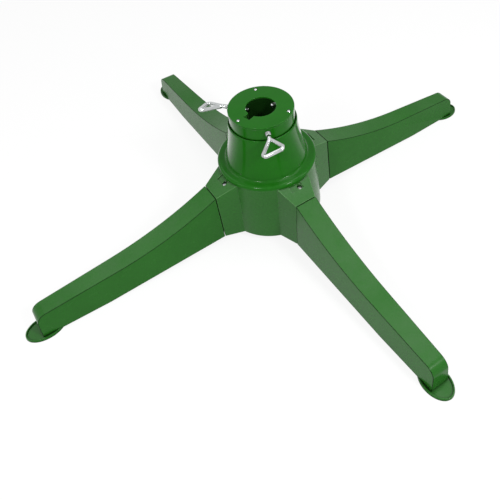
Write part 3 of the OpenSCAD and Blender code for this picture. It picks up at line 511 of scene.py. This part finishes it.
def cross_head_screw(shell, place, radius, length, head_radius, head_height):
    """A screw with a domed head and a cross recess, its seat at z = 0, put at place."""
    part = bmesh.new()
    flat = 0.72 * head_radius
    profile = [(0, -length), (0.7 * radius, -length), (radius, -length + 0.6 * radius), (radius, 0),
               (head_radius, 0), (head_radius, 0.45 * head_height)]
    for step in (0.35, 0.7, 1.0):
        swing = step * math.pi / 2
        profile.append((flat + (head_radius - flat) * math.cos(swing),
                        head_height * (0.45 + 0.55 * math.sin(swing))))
    verts, edges = chain(part, [(MM * x, 0, MM * z) for x, z in profile])
    bmesh.ops.spin(part, geom=verts + edges, cent=(0, 0, 0), axis=(0, 0, 1), dvec=(0, 0, 0),
                   angle=2 * math.pi, steps=28, use_merge=True)
    bmesh.ops.remove_doubles(part, verts=part.verts, dist=FINE_WELD)
    rim = [edge for edge in part.edges if edge.is_boundary]
    arm, half, depth = 0.58 * head_radius, 0.15 * head_radius, 0.55 * head_height
    corners = [(arm, -half), (arm, half), (half, half)]
    outline = []
    for quarter in range(4):
        turn = Matrix.Rotation(quarter * math.pi / 2, 2)
        outline += [turn @ Vector(corner) for corner in corners]
    cross = [part.verts.new((MM * x, MM * y, MM * head_height)) for x, y in outline]
    slot = [part.edges.new(pair) for pair in zip(cross, cross[1:] + cross[:1])]
    bmesh.ops.triangle_fill(part, use_beauty=True, edges=rim + slot)
    inner = [face for face in part.faces if all(vert in cross for vert in face.verts)]
    bmesh.ops.delete(part, geom=inner, context="FACES_ONLY")
    wall = bmesh.ops.extrude_edge_only(part, edges=slot)["geom"]
    floor_verts = ring_verts(wall)
    bmesh.ops.scale(part, vec=(0.7, 0.7, 1), verts=floor_verts)
    bmesh.ops.translate(part, vec=(0, 0, -MM * depth), verts=floor_verts)
    floor_edges = [edge for edge in ring_edges(wall)
                   if all(vert in floor_verts for vert in edge.verts)]
    bmesh.ops.contextual_create(part, geom=floor_edges)
    bmesh.ops.transform(part, matrix=place, verts=part.verts)
    built = bpy.data.meshes.new("screw")
    part.to_mesh(built)
    part.free()
    shell.from_mesh(built)
    bpy.data.meshes.remove(built)


def screw_ring(node, name, places, radius, length, head_radius, head_height):
    """One piece of a screw at each place, each with its recess turned another way."""
    shell = bmesh.new()
    for index, place in enumerate(places):
        own_turn = Matrix.Rotation(math.radians(17 + 131 * index), 4, "Z")
        cross_head_screw(shell, place @ own_turn, radius, length, head_radius, head_height)
    piece = finish_shell(shell, name)
    piece.data.materials.append(finishes[slots[node]])
    stands_for(piece, node)


def around(radius, azimuth, z, count):
    """Places spread evenly on a circle, in millimetres, the first of them at azimuth."""
    return [Matrix.Rotation(math.radians(azimuth + 360 * k / count), 4, "Z")
            @ Matrix.Translation((MM * radius, 0, MM * z)) for k in range(count)]


# In millimetres. A screw is its shank's radius and length, and its head's radius and height
STAND_HEIGHT = 183.3
PLATE_SCREW = (1.25, 9, 1.9, 1.2)
PLATE_SCREW_CIRCLE = 36.5
PLATE_SCREW_AZIMUTH = 68.6
PLATE_SEAT_DEPTH = 1.4
LEG_SCREW = (2.0, 16, 3.1, 2.2)
LEG_SCREW_X = 69.2
LEG_SCREW_Y = 4.4

plate_seat = STAND_HEIGHT - PLATE_SEAT_DEPTH
plate_screw_places = around(PLATE_SCREW_CIRCLE, PLATE_SCREW_AZIMUTH, plate_seat, 3)
screw_ring("plate_screws", "top_screws", plate_screw_places, *PLATE_SCREW)
leg_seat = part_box("leg_screws")[1][2] / MM - LEG_SCREW[3]
leg_screw_places = [
    Matrix.Rotation(math.radians(90 * k), 4, "Z")
    @ Matrix.Translation((MM * LEG_SCREW_X, MM * LEG_SCREW_Y, MM * leg_seat)) for k in range(4)
]
screw_ring("leg_screws", "arm_screws", leg_screw_places, *LEG_SCREW)


# The clamp screws: a threaded shank along +X with a bent-rod loop on its outer end. Lengths are
# in millimetres, those along the shank are from the stand's axis, and angles are in degrees

CLAMP_AZIMUTH = 248.6
CLAMP_HEIGHT = 174.3
TIP_REACH = 16.3
LOOP_START = 51.4
LOOP_LENGTH = 28.6
LOOP_WIDTH = 30.7
ROD_RADIUS = 2.5
ROD_BEND = 4.4
INNER_BEND = 2.6
LOOP_TILT = 18.8
SHANK_RADIUS = 3.0
ROOT_RADIUS = 2.45
PITCH = 1.0
THREAD_STEPS = 18
TURN_STEPS = 24
ROD_STEPS = 20
BEND_STEPS = 10
LOOP_SMOOTH_ANGLE = 50


def threaded_shank():
    """A thread from the tip to the neck, spun as a helix and cut square at its ends."""
    part = bmesh.new()
    start, end = TIP_REACH, LOOP_START - 5
    turns = math.ceil((end - start) / PITCH) + 2
    profile = [(0, ROOT_RADIUS), (0.12, ROOT_RADIUS), (0.46, SHANK_RADIUS), (0.58, SHANK_RADIUS),
               (0.92, ROOT_RADIUS), (1, ROOT_RADIUS)]
    points = [(MM * (start - PITCH + PITCH * x), 0, MM * r) for x, r in profile]
    verts, edges = chain(part, points)
    bmesh.ops.spin(part, geom=verts + edges, cent=(0, 0, 0), axis=(1, 0, 0),
                   dvec=(MM * PITCH / THREAD_STEPS, 0, 0), angle=turns * 2 * math.pi,
                   steps=turns * THREAD_STEPS, use_merge=False)
    bmesh.ops.remove_doubles(part, verts=part.verts, dist=WELD)
    for x, side in ((start, -1), (end, 1)):
        bmesh.ops.bisect_plane(part, geom=part.verts[:] + part.edges[:] + part.faces[:], dist=1e-7,
                               plane_co=(MM * x, 0, 0), plane_no=(side, 0, 0), clear_outer=True)
    bmesh.ops.holes_fill(part, edges=[edge for edge in part.edges if edge.is_boundary], sides=0)
    return part


def turned(part, profile):
    """Spin (x, radius) points round the X axis."""
    verts, edges = chain(part, [(MM * x, 0, MM * r) for x, r in profile])
    bmesh.ops.spin(part, geom=verts + edges, cent=(0, 0, 0), axis=(1, 0, 0), dvec=(0, 0, 0),
                   angle=2 * math.pi, steps=TURN_STEPS, use_merge=True)


def bent_loop(part):
    """The closed triangular loop of round rod, its inner corner near the origin."""
    lean = math.atan2(LOOP_WIDTH / 2, LOOP_LENGTH)
    bend = math.pi / 2 + lean
    cut = ROD_BEND * math.tan(bend / 2)
    inner_cut = INNER_BEND / math.tan(lean)
    side = math.hypot(LOOP_LENGTH, LOOP_WIDTH / 2) - cut - inner_cut
    half_bar = LOOP_WIDTH / 2 - cut
    ring = bmesh.ops.create_circle(
        part, cap_ends=False, radius=MM * ROD_RADIUS, segments=ROD_STEPS)["verts"]
    stand = Matrix.Translation((MM * LOOP_LENGTH, 0, 0)) @ Matrix.Rotation(-math.pi / 2, 4, "X")
    bmesh.ops.transform(part, matrix=stand, verts=ring)
    edges = [edge for edge in part.edges if all(vert in ring for vert in edge.verts)]
    place = Vector((LOOP_LENGTH, 0, 0))
    heading = Vector((0, 1, 0))
    # Each straight length of rod, with the radius and angle of the bend that follows it
    runs = [(half_bar, ROD_BEND, bend), (side, INNER_BEND, math.pi - 2 * lean),
            (side, ROD_BEND, bend), (half_bar, 0, 0)]
    for length, radius, angle in runs:
        moved = bmesh.ops.extrude_edge_only(part, edges=edges)["geom"]
        ring = ring_verts(moved)
        edges = [edge for edge in ring_edges(moved) if all(vert in ring for vert in edge.verts)]
        bmesh.ops.translate(part, vec=MM * length * heading, verts=ring)
        place = place + length * heading
        if angle == 0:
            break
        left = Vector((-heading.y, heading.x, 0))
        centre = place + radius * left
        last = bmesh.ops.spin(
            part, geom=ring + edges, cent=MM * centre, axis=(0, 0, 1), dvec=(0, 0, 0),
            angle=angle, steps=BEND_STEPS, use_merge=False)["geom_last"]
        ring, edges = ring_verts(last), ring_edges(last)
        turn = Matrix.Rotation(angle, 3, "Z")
        place = centre + turn @ (place - centre)
        heading = turn @ heading
    bmesh.ops.remove_doubles(part, verts=part.verts, dist=WELD)


def add_loop_screw(node, name, turn, droop):
    """One clamp screw: shank, tip, neck and loop. turn counts thirds of a circle from the first
    screw, and droop is how far its loop tips from the shank's line."""
    shell = threaded_shank()
    nose = [(TIP_REACH + 0.02, 0), (TIP_REACH + 0.02, 1.9), (TIP_REACH + 0.7, ROOT_RADIUS - 0.02),
            (TIP_REACH + 2, ROOT_RADIUS - 0.02), (TIP_REACH + 2, 0)]
    turned(shell, nose)
    neck_start, neck_end = LOOP_START - 5.2, LOOP_START + 2.2
    neck = [(neck_start, 0), (neck_start, 2.3), (neck_start + 0.5, 2.75), (neck_end - 1.4, 2.75),
            (neck_end - 0.4, 2.45), (neck_end, 1.6), (neck_end, 0)]
    turned(shell, neck)
    loop = bmesh.new()
    bent_loop(loop)
    dropped = Matrix.Rotation(math.radians(droop), 4, "Y")
    swing = Matrix.Translation((MM * LOOP_START, 0, 0)) @ dropped
    bmesh.ops.transform(loop, matrix=swing, verts=loop.verts)
    built = bpy.data.meshes.new("loop")
    loop.to_mesh(built)
    loop.free()
    shell.from_mesh(built)
    bpy.data.meshes.remove(built)
    place = (
        Matrix.Rotation(math.radians(CLAMP_AZIMUTH + 120 * turn), 4, "Z")
        @ Matrix.Translation((0, 0, MM * CLAMP_HEIGHT))
        @ Matrix.Rotation(math.radians(LOOP_TILT), 4, "X")
    )
    bmesh.ops.transform(shell, matrix=place, verts=shell.verts)
    piece = finish_shell(shell, name, LOOP_SMOOTH_ANGLE)
    piece.data.materials.append(finishes[slots[node]])
    stands_for(piece, node)


add_loop_screw("clamp_screw_front", "loop_screw_front", 0, -3.5)
add_loop_screw("clamp_screw_left", "loop_screw_left", 2, 10.5)


# ---- Studio ----

FLOOR_SIZE = 30.0
FLOOR_COLOUR = (0.86, 0.86, 0.86, 1)
# How much of the floor is plain white where it is seen directly; the rest takes the shadow
FLOOR_GLOW = 0.85
WORLD_STRENGTH = 0.45
# In metres
LIT_POINT = Vector((0, 0, 0.1))
# Name, azimuth and height in degrees, distance from the lit point, width and length, watts
LAMPS = (
    ("overhead", -10, 70, 1.6, (0.6, 0.6), 6),
    ("front left", -150, 42, 1.3, (0.18, 0.2), 6),
    ("front right", -75, 42, 1.3, (0.18, 0.2), 8),
    ("left", 175, 30, 1.4, (0.35, 0.7), 2),
    ("right", -40, 30, 1.4, (0.35, 0.7), 3),
    ("back", 112, 48, 1.6, (0.6, 0.6), 3),
)


def seen_directly(tree):
    """One for what the camera, a mirror or glass shows, nought for what lights the object."""
    rays = tree.nodes.new("ShaderNodeLightPath")
    mirror = calc(tree, "MAXIMUM", rays.outputs["Is Camera Ray"], rays.outputs["Is Glossy Ray"])
    return calc(tree, "MAXIMUM", mirror, rays.outputs["Is Transmission Ray"])


def add_floor():
    sheet = bmesh.new()
    bmesh.ops.create_grid(sheet, x_segments=1, y_segments=1, size=FLOOR_SIZE / 2)
    mesh = bpy.data.meshes.new("floor")
    sheet.to_mesh(mesh)
    sheet.free()
    floor = bpy.data.objects.new("floor", mesh)
    bpy.context.scene.collection.objects.link(floor)
    made = bpy.data.materials.new("pale floor")
    made.use_nodes = True
    tree = made.node_tree
    tree.nodes.clear()
    out = tree.nodes.new("ShaderNodeOutputMaterial")
    cloth = tree.nodes.new("ShaderNodeBsdfDiffuse")
    cloth.inputs["Color"].default_value = FLOOR_COLOUR
    glow = tree.nodes.new("ShaderNodeEmission")
    glow.inputs["Strength"].default_value = 1
    mix = tree.nodes.new("ShaderNodeMixShader")
    tree.links.new(calc(tree, "MULTIPLY", seen_directly(tree), FLOOR_GLOW), mix.inputs[0])
    tree.links.new(cloth.outputs[0], mix.inputs[1])
    tree.links.new(glow.outputs[0], mix.inputs[2])
    tree.links.new(mix.outputs[0], out.inputs["Surface"])
    mesh.materials.append(made)


def direction(azimuth, height, distance):
    """A point at that distance from the lit point."""
    flat = math.cos(math.radians(height))
    return LIT_POINT + distance * Vector((
        flat * math.cos(math.radians(azimuth)), flat * math.sin(math.radians(azimuth)),
        math.sin(math.radians(height))))


def add_lamp(name, place, size, power):
    """An area lamp that faces the lit point."""
    data = bpy.data.lights.new(name, "AREA")
    data.shape = "RECTANGLE"
    data.size, data.size_y = size
    data.energy = power
    lamp = bpy.data.objects.new(name, data)
    lamp.location = place
    towards = LIT_POINT - place
    lamp.rotation_euler = towards.to_track_quat("-Z", "Y").to_euler()
    bpy.context.scene.collection.objects.link(lamp)


def add_world():
    """An even light that shows as white where it is seen directly."""
    world = bpy.data.worlds.new("studio")
    world.use_nodes = True
    tree = world.node_tree
    tree.nodes.clear()
    out = tree.nodes.new("ShaderNodeOutputWorld")
    light = tree.nodes.new("ShaderNodeBackground")
    light.inputs["Color"].default_value = (1, 1, 1, 1)
    light.inputs["Strength"].default_value = WORLD_STRENGTH
    white = tree.nodes.new("ShaderNodeBackground")
    white.inputs["Color"].default_value = (1, 1, 1, 1)
    mix = tree.nodes.new("ShaderNodeMixShader")
    tree.links.new(seen_directly(tree), mix.inputs[0])
    tree.links.new(light.outputs[0], mix.inputs[1])
    tree.links.new(white.outputs[0], mix.inputs[2])
    tree.links.new(mix.outputs[0], out.inputs["Surface"])
    bpy.context.scene.world = world


add_floor()
add_world()
for name, azimuth, height, distance, size, power in LAMPS:
    add_lamp(name, direction(azimuth, height, distance), size, power)

scene = bpy.context.scene
scene.view_settings.view_transform = "Standard"
